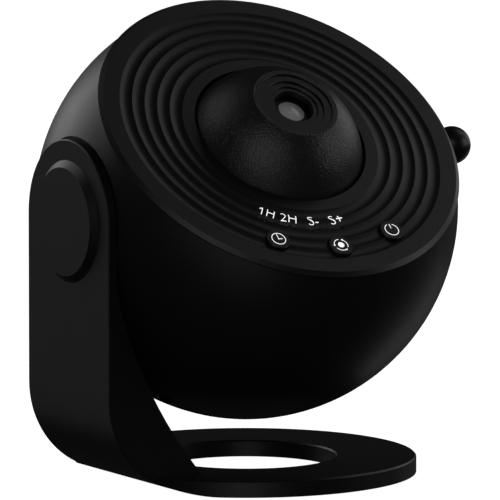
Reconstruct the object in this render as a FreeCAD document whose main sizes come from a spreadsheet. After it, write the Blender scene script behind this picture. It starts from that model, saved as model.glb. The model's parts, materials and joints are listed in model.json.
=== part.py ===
"""Tabletop planetarium projector: a ball on a one-armed stand.

Millimetres, +Z up.  The origin lies on the table, in the middle of the stand's ring,
straight below the ball's centre.  The ball turns about the X axis through its centre.

The pieces in the ball share a frame of their own: its origin is the ball's centre, its
Z axis is the axis that the stars are thrown along, and its X axis is the pivot.  The
sizes called "level" are heights along that Z axis.
"""
import FreeCAD, Part
import Sketcher
import math
import os
import re

SIZES = {
    # how far a cut runs past the face that it opens
    "cut_over": 1.0,
    # the ball and the way it points
    "ball_radius": 71.0,
    "ball_wall": 2.5,
    "pivot_height": 89.2,
    "axis_elevation": 50.0,
    # the round face plate
    "face_level": 35.35,
    "rim_overhang": 1.19,
    "face_chamfer_width": 1.5,
    "face_chamfer": 1.2,
    "flange_thickness": 1.5,
    "plate_thickness": 2.8,
    "lip_width": 1.5,
    "lip_depth": 3.3,
    "lip_gap": 0.4,
    "scallop_outer": 56.4,
    "scallop_inner": 34.45,
    "scallop_depth": 0.45,
    "collar_radius": 30.1,
    "collar_wall": 1.5,
    "collar_ledge": 2.5,
    "ledge_level": 26.9,
    "ledge_thickness": 1.2,
    # the joint between face plate and rear shell
    "boss_x": 34.6,
    "boss_y": 44.3,
    "boss_radius": 3.4,
    "post_radius": 4.6,
    "post_level": 12.0,
    "post_floor": 3.0,
    "well_radius": 3.0,
    "shell_screw_radius": 1.5,
    "shell_screw_head": 2.6,
    "shell_screw_head_height": 2.0,
    "shell_screw_grip": 11.0,
    "screw_gap": 0.15,
    "pilot_depth": 3.0,
    "pilot_over": 1.0,
    "post_trim_below": 10.0,
    "post_trim_above": 30.0,
    "pilot_gap": 0.05,
    # the rear of the shell
    "recess_radius": 9.5,
    "recess_depth": 8.0,
    "recess_floor": 2.0,
    "recess_wall": 2.0,
    "vent_radius": 1.6,
    "vent_circle": 18.0,
    "vent_count": 12,
    # the pivot
    "facet_depth": 6.1,
    "facet_wall": 2.5,
    "facet_inset": 0.3,
    "facet_lip": 0.6,
    "hub_radius": 9.0,
    "hub_length": 10.0,
    "bush_radius": 6.0,
    "bush_flange": 8.0,
    "bush_flange_thickness": 0.6,
    "bolt_radius": 4.0,
    "bolt_gap": 0.06,
    "bolt_head_radius": 8.0,
    "bolt_head_thickness": 1.1,
    "washer_radius": 14.0,
    "washer_thickness": 0.3,
    "washer_gap": 0.1,
    "spring_washer_radius": 7.4,
    "spring_washer_thickness": 0.8,
    "nut_radius": 7.4,
    "nut_thickness": 3.2,
    "bolt_tail": 0.8,
    # the stand
    "arm_half_width": 27.3,
    "arm_thickness": 3.0,
    "base_thickness": 5.6,
    "base_radius": 57.2,
    "base_hole": 30.15,
    "bend_radius": 32.4,
    "gusset_top": 20.7,
    "gusset_foot": 33.2,
    "gusset_radius": 155.3,
    "ball_clearance": 2.0,
    "stand_edge": 0.5,
    "arm_edge": 0.35,
    "foot_radius": 5.0,
    "foot_circle": 45.0,
    "foot_front_angle": 35.0,
    "foot_rear_angle": 125.0,
    "foot_groove": 1.2,
    "foot_gap": 0.1,
    "cap_radius": 20.4,
    "cap_top_radius": 18.1,
    "cap_height": 2.1,
    "cap_wall": 0.8,
    "cap_hollow_radius": 9.0,
    # the dome over the lens
    "dome_radius": 31.5,
    "dome_drop": 12.53,
    "dome_wall": 2.2,
    "dome_top": 15.25,
    "skirt_radius": 29.3,
    "skirt_gap": 0.1,
    "nozzle_seat": 13.9,
    "nozzle_thickness": 3.4,
    "nozzle_rim": 13.1,
    "nozzle_step_one": 10.45,
    "nozzle_step_two": 8.45,
    "nozzle_step_three": 6.8,
    "nozzle_bore": 6.4,
    "step_one_depth": 0.5,
    "step_two_depth": 1.05,
    "step_three_depth": 1.5,
    "step_four_depth": 1.9,
    "cone_depth": 3.0,
    "step_edge": 0.12,
    "sleeve_wall": 1.6,
    "sleeve_length": 13.0,
    "dome_floor": 2.0,
    # the lens barrel in the dome
    "barrel_radius": 8.9,
    "barrel_length": 16.5,
    "lens_radius": 7.2,
    "lens_seat": 5.9,
    "retainer_bore": 4.6,
    "retainer_thickness": 0.7,
    "lens_depth": 3.7,
    "front_lens_edge": 2.6,
    "front_lens_bulge": 0.6,
    "front_lens_curve": 4.1,
    "rear_lens_edge": 2.2,
    "rear_lens_bulge": 1.2,
    "barrel_web": 3.0,
    # buttons and what lies under them
    "button_circle": 51.0,
    "button_angle": 25.2,
    "button_radius": 4.1,
    "button_gap": 0.3,
    "button_rise": 0.7,
    "button_flange": 5.2,
    "button_flange_thickness": 1.0,
    "button_play": 0.3,
    "button_stroke": 0.5,
    "button_edge": 0.2,
    "plunger_radius": 1.75,
    "plunger_gap": 0.2,
    "plunger_root": 0.9,
    "plunger_height": 0.7,
    "switch_size": 6.0,
    "switch_height": 2.0,
    "board_thickness": 1.2,
    "board_inner": 40.5,
    "board_outer": 57.0,
    "board_half_angle": 33.0,
    "board_boss_circle": 55.0,
    "board_boss_angle": 12.7,
    "board_boss_radius": 2.2,
    "small_screw_radius": 0.95,
    "small_screw_head": 1.9,
    "small_screw_head_height": 1.3,
    "board_screw_grip": 4.0,
    "light_circle": 43.3,
    "light_radius": 0.6,
    "light_gap": 0.1,
    "light_sink": 0.5,
    "light_angle_a": 31.0,
    "light_angle_b": 19.8,
    "light_angle_c": 6.3,
    "light_angle_d": -5.5,
    "led_size": 1.6,
    "led_height": 0.8,
    # the focus drive
    "focus_turn": 15.0,
    "focus_travel": 1.5,
    "knob_level": 23.5,
    "knob_stand_off": 0.3,
    "knob_radius": 6.45,
    "knob_gap": 0.45,
    "track_end": 5.6,
    "slot_below": 4.0,
    "slot_above": 3.0,
    "stem_radius": 1.6,
    "ring_inner": 46.3,
    "ring_wall": 3.5,
    "ring_low": 12.2,
    "ring_high": 26.0,
    "tube_gap": 0.3,
    "tube_wall": 2.0,
    "tube_low": 9.0,
    "ear_circle": 48.0,
    "ear_radius": 3.4,
    "ear_boss_radius": 3.0,
    "ear_sink": 1.6,
    "ear_grip": 4.5,
    "flange_lip": 1.0,
    "ear_thickness": 3.5,
    "clip_width": 3.2,
    "clip_thickness": 1.1,
    "cam_level": 17.0,
    "cam_pin_radius": 1.5,
    "cam_gap": 0.35,
    "cam_count": 3,
    # the stage that carries the lamp and the film disc
    "stage_gap": 0.4,
    "stage_low": 14.5,
    "stage_thickness": 2.0,
    "stage_rim": 4.5,
    "stage_rim_height": 5.0,
    "cam_pin_length": 9.7,
    "cam_pin_depth": 4.0,
    "hub_ring_radius": 21.7,
    "hub_ring_wall": 2.2,
    "hub_ring_height": 2.9,
    "gear_gap": 0.3,
    "gear_lift": 0.5,
    "gear_thickness": 4.0,
    "tooth_width": 3.0,
    "gear_module": 1.0,
    "gear_dedendum": 1.2,
    "tooth_sink": 0.3,
    "pressure_angle": 20.0,
    "gear_teeth": 60,
    "pinion_teeth": 10,
    "pinion_lift": 0.3,
    "pinion_clear": 0.6,
    "tooth_backlash": 0.5,
    "gear_clip_width": 2.6,
    "gear_clip_thickness": 0.6,
    "clip_recess": 1.4,
    "clip_recess_depth": 2.1,
    "disc_radius": 26.0,
    "disc_thickness": 1.0,
    "disc_gap": 0.3,
    "disc_rim_width": 1.6,
    "disc_rim_height": 0.6,
    "disc_notch": 2.4,
    "shaft_length": 11.0,
    "shaft_radius": 1.0,
    "shaft_gap": 0.3,
    "motor_radius": 6.0,
    "motor_length": 16.0,
    "motor_nose_radius": 2.2,
    "motor_nose_height": 1.0,
    "motor_screw_radius": 0.8,
    "motor_screw_head": 1.6,
    "motor_screw_sink": 1.0,
    "motor_screw_length": 3.0,
    "motor_screw_circle": 4.2,
    # the lamp
    "lamp_tube_bore": 11.3,
    "lamp_tube_wall": 1.8,
    "lamp_tube_length": 18.0,
    "lamp_flange": 17.0,
    "lamp_flange_thickness": 2.0,
    "lamp_screw_circle": 15.05,
    "lamp_screw_grip": 5.5,
    "condenser_ledge": 1.3,
    "condenser_ledge_thickness": 1.2,
    "condenser_low": 6.0,
    "condenser_edge": 2.0,
    "condenser_bulge": 5.0,
    "led_board_thickness": 1.6,
    "emitter_radius": 2.6,
    "emitter_base": 0.8,
    "emitter_tip": 1.4,
    "emitter_rise": 1.4,
    "sink_radius": 17.0,
    "sink_plate": 2.5,
    "sink_length": 16.0,
    "fin_width": 1.6,
    "fin_gap": 2.6,
    # the power board in the rear
    "rear_board_stand": 13.0,
    "rear_board_radius": 36.0,
    "rear_post_x": 21.0,
    "rear_post_radius": 3.0,
    "rear_post_sink": 0.2,
    "rear_screw_grip": 3.6,
    "chip_height": 1.6,
    "driver_x": 8.0,
    "driver_y": 12.0,
    "driver_width": 9.0,
    "charger_x": -14.0,
    "charger_y": 4.0,
    "charger_width": 6.0,
    "charger_length": 8.0,
    "diode_x": 14.0,
    "diode_y": -6.0,
    "diode_width": 5.0,
    "diode_length": 4.0,
    "choke_y": -22.0,
    "choke_radius": 4.0,
    "choke_height": 6.0,
    "jack_width": 9.0,
    "jack_gap": 0.1,
    "jack_nose": 3.2,
    "jack_nose_gap": 0.2,
    "jack_bore": 2.8,
    "jack_pin": 1.0,
    "jack_pin_sink": 1.0,
    "jack_depth": 9.0,
}

# ---------------------------------------------------------------- worked-out sizes
RIM = "(face_level - flange_thickness)"
PLATE_BACK = "(face_level - plate_thickness)"
SHELL_INNER = "(ball_radius - ball_wall)"
RIM_OUTER = f"sqrt(ball_radius^2 - {RIM}^2)"
RIM_INNER = f"sqrt({SHELL_INNER}^2 - {RIM}^2)"
FLANGE_RADIUS = f"({RIM_OUTER} + rim_overhang)"
FACE_RADIUS = f"({FLANGE_RADIUS} - face_chamfer_width)"
FACET = "(ball_radius - facet_depth)"
FACET_RADIUS = f"sqrt(ball_radius^2 - {FACET}^2)"
KNOB_REACH = "(ball_radius + knob_stand_off)"
POST_CIRCLE = "sqrt(boss_x^2 + boss_y^2)"
POST_ROOT = f"(-sqrt(ball_radius^2 - ({POST_CIRCLE} - post_radius)^2) - cut_over)"
ARM_INNER = f"({FACET} + washer_gap + washer_thickness)"
ARM_OUTER = f"({ARM_INNER} + arm_thickness)"
HUB_END = f"(hub_length - {FACET})"
BUSH_END = f"({HUB_END} + bush_flange_thickness)"
WASHER_END = f"({BUSH_END} + washer_gap + spring_washer_thickness)"
NUT_END = f"({WASHER_END} + nut_thickness)"
RECESS_FLOOR = "(recess_depth - ball_radius)"
CUP_RADIUS = "(recess_radius + recess_wall)"
DOME_CENTRE = "(face_level - dome_drop)"
NOZZLE_TOP = "(face_level + dome_top)"
NOZZLE_SEAT = f"({NOZZLE_TOP} - nozzle_thickness)"
SKIRT_LOW = "(ledge_level + skirt_gap)"
FRONT_SEAT = f"({NOZZLE_SEAT} - lens_depth)"
REAR_SEAT = f"({FRONT_SEAT} - barrel_web)"
BUTTON_BACK = f"({PLATE_BACK} - button_play - button_flange_thickness)"
BUTTON_TOP = "(face_level + button_rise)"
BOARD_TOP = f"({BUTTON_BACK} - plunger_height - switch_height)"
BOARD_BACK = f"({BOARD_TOP} - board_thickness)"
TUBE_OUTER = "(ring_inner - tube_gap)"
TUBE_INNER = f"({TUBE_OUTER} - tube_wall)"
EAR_LOW = "(ring_high + tube_gap)"
EAR_TOP = f"({EAR_LOW} + ear_thickness)"
STAGE_RADIUS = f"({TUBE_INNER} - stage_gap)"
STAGE_TOP = "(stage_low + stage_rim_height)"
DECK_TOP = f"({STAGE_TOP} - stage_rim_height + stage_thickness)"
GEAR_LOW = f"({DECK_TOP} + gear_lift)"
GEAR_TOP = f"({GEAR_LOW} + gear_thickness)"
GEAR_PITCH = "(gear_module * gear_teeth / 2)"
PINION_PITCH = "(gear_module * pinion_teeth / 2)"
SHAFT_REACH = f"({GEAR_PITCH} + {PINION_PITCH})"
GEAR_BORE = "(hub_ring_radius + gear_gap)"
HUB_TOP = f"({DECK_TOP} + hub_ring_height)"
DISC_LOW = f"{GEAR_TOP}"
LAMP_LOW = "(stage_low - lamp_tube_length)"
LAMP_OUTER = "(lamp_tube_bore + lamp_tube_wall)"
SINK_TOP = f"({LAMP_LOW} - led_board_thickness)"
REAR_BOARD_LEVEL = f"({RECESS_FLOOR} + rear_board_stand)"
REAR_BOARD_TOP = f"({REAR_BOARD_LEVEL} + board_thickness)"
REAR_POST_OUTER = "(sqrt(2) * rear_post_x + rear_post_radius)"
REAR_POST_ROOT = f"(rear_post_sink - sqrt(ball_radius^2 - {REAR_POST_OUTER}^2))"

SCALLOPS = 5
FINS = 7

doc = FreeCAD.newDocument("planetarium_projector")
sheet = doc.addObject("Spreadsheet::Sheet", "Sizes")
nodes = []


def fill_sheet():
    """Write every driving size to the sheet, with its alias."""
    for row, (alias, size) in enumerate(SIZES.items(), start=1):
        sheet.set(f"A{row}", alias)
        sheet.set(f"B{row}", str(size))
        sheet.setAlias(f"B{row}", alias)
    doc.recompute()


def bind(text):
    """Point every alias in an expression at the sheet."""
    def link(match):
        word = match.group(0)
        return f"Sizes.{word}" if word in SIZES else word
    return re.sub(r"[a-z][a-z_]*", link, text)


def value(text):
    """The number that an expression gives now."""
    result = sheet.evalExpression(bind(text))
    return float(getattr(result, "Value", result))


# ---------------------------------------------------------------- placements
def place_stand(node):
    """A stand piece: its own frame is the object's."""
    node.Placement = FreeCAD.Placement()


def place_head(node):
    """A piece in the ball: its Z axis is the projection axis."""
    tilt = FreeCAD.Rotation(FreeCAD.Vector(1, 0, 0), 90 - value("axis_elevation"))
    node.Placement = FreeCAD.Placement(FreeCAD.Vector(0, 0, value("pivot_height")), tilt)
    node.setExpression("Placement.Base.z", bind("pivot_height"))
    node.setExpression("Placement.Rotation.Angle", bind("90 deg - axis_elevation * 1 deg"))


def place_pivot(node):
    """A round piece on the pivot: its Z axis lies along the object's X axis."""
    turn = FreeCAD.Rotation(FreeCAD.Vector(0, 1, 0), 90)
    node.Placement = FreeCAD.Placement(FreeCAD.Vector(0, 0, value("pivot_height")), turn)
    node.setExpression("Placement.Base.z", bind("pivot_height"))


def place_knob(node):
    """A round piece on the focus lever: its Z axis is the lever's own."""
    turn = FreeCAD.Rotation(FreeCAD.Vector(0, 1, 0), 90)
    node.Placement = FreeCAD.Placement(FreeCAD.Vector(), turn)
    back = "-knob_level * cos(axis_elevation * 1 deg)"
    up = "pivot_height + knob_level * sin(axis_elevation * 1 deg)"
    node.setExpression("Placement.Base.y", bind(back))
    node.setExpression("Placement.Base.z", bind(up))


def place_pinion(node):
    """A round piece on the motor's shaft: as place_head, moved out to the shaft."""
    place_head(node)
    node.Placement.Base.x = value(SHAFT_REACH)
    node.setExpression("Placement.Base.x", bind(SHAFT_REACH))


# ---------------------------------------------------------------- sketch helpers
def new_body(name, place):
    """An empty body that becomes the node of that name."""
    body = doc.addObject("PartDesign::Body", name)
    body.Label = name
    body.AllowCompound = True
    place(body)
    nodes.append(body)
    return body


def new_sketch(body, plane, level="0", rise="0"):
    """A sketch on one of the body's own planes.

    It is moved by level along the plane's normal and by rise along its own y axis.
    """
    sketch = body.newObject("Sketcher::SketchObject", f"{body.Label}_sketch")
    origin = [item for item in body.Origin.OriginFeatures if item.Role == f"{plane}_Plane"]
    sketch.AttachmentSupport = [(origin[0], "")]
    sketch.MapMode = "FlatFace"
    offset = FreeCAD.Vector(0, value(rise), value(level))
    sketch.AttachmentOffset = FreeCAD.Placement(offset, FreeCAD.Rotation())
    sketch.setExpression("AttachmentOffset.Base.y", bind(rise))
    sketch.setExpression("AttachmentOffset.Base.z", bind(level))
    return sketch


def drive(sketch, kind, where, text):
    """Add a sketch constraint and bind it to an expression."""
    index = sketch.addConstraint(Sketcher.Constraint(kind, *where, value(text)))
    sketch.setExpression(f"Constraints[{index}]", bind(text))


def arc_between(start, end, radius, turn):
    """The shorter arc from start to end; turn is 1 for counter-clockwise."""
    chord = end - start
    rise = math.sqrt(max(radius ** 2 - (chord.Length / 2) ** 2, 0.0))
    side = FreeCAD.Vector(-chord.y, chord.x, 0).normalize()
    centre = (start + end) * 0.5 + side * rise * turn
    first, last = (start, end) if turn > 0 else (end, start)
    low = math.atan2(first.y - centre.y, first.x - centre.x)
    high = math.atan2(last.y - centre.y, last.x - centre.x)
    if high < low:
        high += 2 * math.pi
    circle = Part.Circle(centre, FreeCAD.Vector(0, 0, 1), radius)
    return Part.ArcOfCircle(circle, low, high)


def draw(sketch, corners):
    """Draw a closed outline.

    A corner is (x, y), reached by a straight edge, or (x, y, radius, turn), reached by
    an arc.  Each coordinate and radius is an expression and becomes a constraint.
    """
    spots = [FreeCAD.Vector(value(corner[0]), value(corner[1]), 0) for corner in corners]
    ends = []
    for index, corner in enumerate(corners):
        start, end = spots[index - 1], spots[index]
        if len(corner) == 2:
            edge = sketch.addGeometry(Part.LineSegment(start, end), False)
            ends.append((edge, 1, 2))
        else:
            turn = corner[3]
            arc = arc_between(start, end, value(corner[2]), turn)
            edge = sketch.addGeometry(arc, False)
            ends.append((edge, 1, 2) if turn > 0 else (edge, 2, 1))
    for index, corner in enumerate(corners):
        edge, _, last = ends[index]
        follower, first, _ = ends[(index + 1) % len(corners)]
        sketch.addConstraint(Sketcher.Constraint("Coincident", edge, last, follower, first))
        drive(sketch, "DistanceX", (-1, 1, edge, last), corner[0])
        drive(sketch, "DistanceY", (-1, 1, edge, last), corner[1])
        if len(corner) > 2:
            drive(sketch, "Radius", (edge,), corner[2])
    return sketch


def draw_circle(sketch, radius, spot=("0", "0")):
    """Draw a circle round a spot."""
    centre = FreeCAD.Vector(value(spot[0]), value(spot[1]), 0)
    circle = Part.Circle(centre, FreeCAD.Vector(0, 0, 1), value(radius))
    edge = sketch.addGeometry(circle, False)
    drive(sketch, "DistanceX", (-1, 1, edge, 3), spot[0])
    drive(sketch, "DistanceY", (-1, 1, edge, 3), spot[1])
    drive(sketch, "Radius", (edge,), radius)
    return sketch


def box_corners(x, y, width, height):
    """The corners of a rectangle round a centre."""
    return [
        (f"{x} - {width} / 2", f"{y} - {height} / 2"),
        (f"{x} + {width} / 2", f"{y} - {height} / 2"),
        (f"{x} + {width} / 2", f"{y} + {height} / 2"),
        (f"{x} - {width} / 2", f"{y} + {height} / 2"),
    ]


# ---------------------------------------------------------------- feature helpers
def pad(body, sketch, length, midplane=False):
    """Raise a sketch along its normal."""
    feature = body.newObject("PartDesign::Pad", f"{body.Label}_pad")
    feature.Profile = sketch
    feature.Midplane = midplane
    feature.setExpression("Length", bind(length))
    return feature


def pocket(body, sketch, length, midplane=False):
    """Cut a sketch against its normal."""
    feature = body.newObject("PartDesign::Pocket", f"{body.Label}_pocket")
    feature.Profile = sketch
    feature.Midplane = midplane
    feature.setExpression("Length", bind(length))
    return feature


def spin(body, corners, cut=False, angle=None):
    """Revolve an outline (radius, level) about the body's Z axis, or cut it away."""
    sketch = draw(new_sketch(body, "XZ"), corners)
    kind = "PartDesign::Groove" if cut else "PartDesign::Revolution"
    feature = body.newObject(kind, f"{body.Label}_turned")
    feature.Profile = sketch
    feature.ReferenceAxis = (sketch, ["V_Axis"])
    if angle is None:
        feature.Angle = 360
    else:
        feature.Midplane = True
        feature.setExpression("Angle", bind(angle))
    return feature


def pillars(body, spots, radius, low, high, plane="XY"):
    """Round pillars from one level to another."""
    sketch = new_sketch(body, plane, low)
    for spot in spots:
        draw_circle(sketch, radius, spot)
    return pad(body, sketch, f"({high}) - ({low})")


def drill(body, spots, radius, low, high, plane="XY"):
    """Round holes from one level to another."""
    sketch = new_sketch(body, plane, high)
    for spot in spots:
        draw_circle(sketch, radius, spot)
    return pocket(body, sketch, f"({high}) - ({low})")


def repeat(body, feature, count):
    """Repeat a feature evenly about the body's Z axis."""
    doc.recompute()
    pattern = body.newObject("PartDesign::PolarPattern", f"{body.Label}_pattern")
    pattern.Originals = [feature]
    axis = [item for item in body.Origin.OriginFeatures if item.Role == "Z_Axis"]
    pattern.Axis = (axis[0], [""])
    pattern.Angle = 360
    pattern.setExpression("Occurrences", bind(count))
    body.Tip = pattern
    return pattern


def chamfer(body, size, names):
    """Chamfer the named edges."""
    solid = body.Tip
    feature = body.newObject("PartDesign::Chamfer", f"{body.Label}_edges")
    feature.Base = (solid, names)
    feature.setExpression("Size", bind(size))
    body.Tip = feature
    return feature


def soften(body, size, rings):
    """Chamfer the round edges of a given radius at a given level."""
    names = []
    for number, edge in enumerate(body.Tip.Shape.Edges, start=1):
        curve = edge.Curve
        if not isinstance(curve, Part.Circle):
            continue
        for radius, level in rings:
            same_radius = abs(curve.Radius - value(radius)) < 1e-4
            same_level = abs(curve.Center.z - value(level)) < 1e-4
            flat = abs(abs(curve.Axis.z) - 1) < 1e-6
            if same_radius and same_level and flat:
                names.append(f"Edge{number}")
    return chamfer(body, size, names)


def ring(name, place, inner, outer, low, high):
    """A plain ring or, where inner is "0", a disc."""
    body = new_body(name, place)
    if inner == "0":
        pillars(body, [("0", "0")], outer, low, high)
        return body
    spin(body, [(inner, low), (outer, low), (outer, high), (inner, high)])
    return body


def polar(radius, angle):
    """The spot at an angle, in degrees, from the X axis."""
    return (f"{radius} * cos(({angle}) * 1 deg)", f"{radius} * sin(({angle}) * 1 deg)")


def screws(name, place, spots, seat, grip, sizes):
    """Pan-head screws whose heads hang below the seat level."""
    shank, head, height = sizes
    body = new_body(name, place)
    pillars(body, spots, head, f"({seat}) - {height}", seat)
    pillars(body, spots, shank, seat, f"({seat}) + {grip}")
    return body


SMALL_SCREW = ("small_screw_radius", "small_screw_head", "small_screw_head_height")
FOUR_BOSSES = [(f"{a} * boss_x", f"{b} * boss_y") for a in (-1, 1) for b in (-1, 1)]
FOUR_REAR = [(f"{a} * rear_post_x", f"{b} * rear_post_x") for a in (-1, 1) for b in (-1, 1)]
EAR_SPOTS = [polar("ear_circle", angle) for angle in (90, 210, 330)]
BOARD_SPOTS = [polar("board_boss_circle", f"-90 + {side} * board_boss_angle") for side in (-1, 1)]
BUTTON_SPOTS = {
    "timer": polar("button_circle", "-90 - button_angle"),
    "light": polar("button_circle", "-90"),
    "power": polar("button_circle", "-90 + button_angle"),
}
LIGHT_SPOTS = [polar("light_circle", f"-90 - light_angle_{letter}") for letter in "abcd"]


# ---------------------------------------------------------------- the stand
FEET = [polar("foot_circle", f"{side} * foot_{place}_angle")
        for side in (-1, 1) for place in ("front", "rear")]


def make_stand_bracket():
    """One moulding: the upright arm, the thick corner and the ring that lies flat."""
    body = new_body("stand_bracket", place_stand)
    arm_top = "(pivot_height + arm_half_width)"
    bend_start = f"(bend_radius - {ARM_OUTER})"
    profile = new_sketch(body, "XZ")
    draw(profile, [
        ("0", "base_thickness"),
        ("-gusset_foot", "base_thickness"),
        (f"-{ARM_INNER}", "pivot_height - gusset_top", "gusset_radius", -1),
        (f"-{ARM_INNER}", arm_top),
        (f"-{ARM_OUTER}", arm_top),
        (f"-{ARM_OUTER}", "bend_radius"),
        (bend_start, "0", "bend_radius", 1),
        ("0", "0"),
    ])
    pad(body, profile, "2 * arm_half_width", midplane=True)
    pillars(body, [("0", "0")], "base_radius", "0", "base_thickness")
    # the bend also trims the underside of the ring
    trim = new_sketch(body, "XZ")
    draw(trim, [
        (f"-{ARM_OUTER}", "-cut_over"),
        (bend_start, "-cut_over"),
        (bend_start, "0"),
        (f"-{ARM_OUTER}", "bend_radius", "bend_radius", -1),
        (f"-{ARM_OUTER} - cut_over", "bend_radius"),
        (f"-{ARM_OUTER} - cut_over", "-cut_over"),
    ])
    pocket(body, trim, "4 * base_radius", midplane=True)
    # the round head of the arm
    shoulder = new_sketch(body, "YZ")
    draw(shoulder, [
        ("arm_half_width", "pivot_height"),
        ("0", arm_top, "arm_half_width", 1),
        ("-arm_half_width", "pivot_height", "arm_half_width", 1),
        ("-arm_half_width - cut_over", "pivot_height"),
        ("-arm_half_width - cut_over", f"{arm_top} + cut_over"),
        ("arm_half_width + cut_over", f"{arm_top} + cut_over"),
        ("arm_half_width + cut_over", "pivot_height"),
    ])
    pocket(body, shoulder, "4 * base_radius", midplane=True)
    # room for the ball where the corner is thick
    room = new_sketch(body, "XZ", rise="pivot_height")
    reach = "(ball_radius + ball_clearance)"
    draw(room, [
        ("0", "0"),
        ("0", reach),
        (f"-{ARM_INNER}", f"sqrt({reach}^2 - {ARM_INNER}^2)", reach, 1),
        (f"-{ARM_INNER}", "0"),
    ])
    hollow = body.newObject("PartDesign::Groove", "ball_room")
    hollow.Profile = room
    hollow.ReferenceAxis = (room, ["H_Axis"])
    hollow.Angle = 360
    drill(body, [("0", "0")], "base_hole", "-cut_over", "base_thickness + cut_over")
    drill(body, [("0", "pivot_height")], "bolt_radius", f"-{ARM_OUTER} - cut_over",
          f"-{ARM_INNER} + cut_over", plane="YZ")
    drill(body, FEET, "foot_radius + foot_gap", "-cut_over", "foot_groove")
    doc.recompute()
    soften(body, "stand_edge", [("base_radius", "base_thickness"),
                                ("base_hole", "base_thickness")])
    doc.recompute()
    # the outer face of the arm, round its head and down its two sides
    outline = []
    for number, edge in enumerate(body.Tip.Shape.Edges, start=1):
        box = edge.BoundBox
        on_face = abs(box.XMin + value(ARM_OUTER)) < 1e-4 and box.XLength < 1e-4
        if on_face and box.YMin * box.YMax > 0 and box.ZLength > value("arm_half_width"):
            outline.append(f"Edge{number}")
    chamfer(body, "arm_edge", outline)
    return body


def make_pivot():
    """The bolt that the ball turns on, with its washers, nut and cover."""
    body = new_body("rubber_feet", place_stand)
    pillars(body, FEET, "foot_radius", "0", "foot_groove")
    body = new_body("pivot_cap", place_pivot)
    hollow = f"(-{ARM_OUTER} - cap_height + cap_wall)"
    spin(body, [
        ("cap_hollow_radius", f"-{ARM_OUTER}"),
        ("cap_radius", f"-{ARM_OUTER}"),
        ("cap_top_radius", f"-{ARM_OUTER} - cap_height"),
        ("0", f"-{ARM_OUTER} - cap_height"),
        ("0", hollow),
        ("cap_hollow_radius", hollow),
    ])
    body = new_body("pivot_bolt", place_pivot)
    spin(body, [
        ("0", f"-{ARM_OUTER} - bolt_head_thickness"),
        ("bolt_head_radius", f"-{ARM_OUTER} - bolt_head_thickness"),
        ("bolt_head_radius", f"-{ARM_OUTER}"),
        ("bolt_radius", f"-{ARM_OUTER}"),
        ("bolt_radius", f"{NUT_END} + bolt_tail"),
        ("0", f"{NUT_END} + bolt_tail"),
    ])
    ring("friction_washer", place_pivot, "bolt_radius", "washer_radius",
         f"-{ARM_INNER}", f"-{ARM_INNER} + washer_thickness")
    ring("spring_washer", place_pivot, "bolt_radius", "spring_washer_radius",
         f"{BUSH_END} + washer_gap", WASHER_END)
    body = new_body("pivot_nut", place_pivot)
    flats = new_sketch(body, "XY", WASHER_END)
    draw(flats, [polar("nut_radius", 60 * side) for side in range(6)])
    draw_circle(flats, "bolt_radius")
    pad(body, flats, "nut_thickness")
    body = new_body("hub_bush", place_pivot)
    spin(body, [
        ("bolt_radius + bolt_gap", f"-{FACET}"),
        ("bush_radius", f"-{FACET}"),
        ("bush_radius", HUB_END),
        ("bush_flange", HUB_END),
        ("bush_flange", BUSH_END),
        ("bolt_radius + bolt_gap", BUSH_END),
    ])


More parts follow.
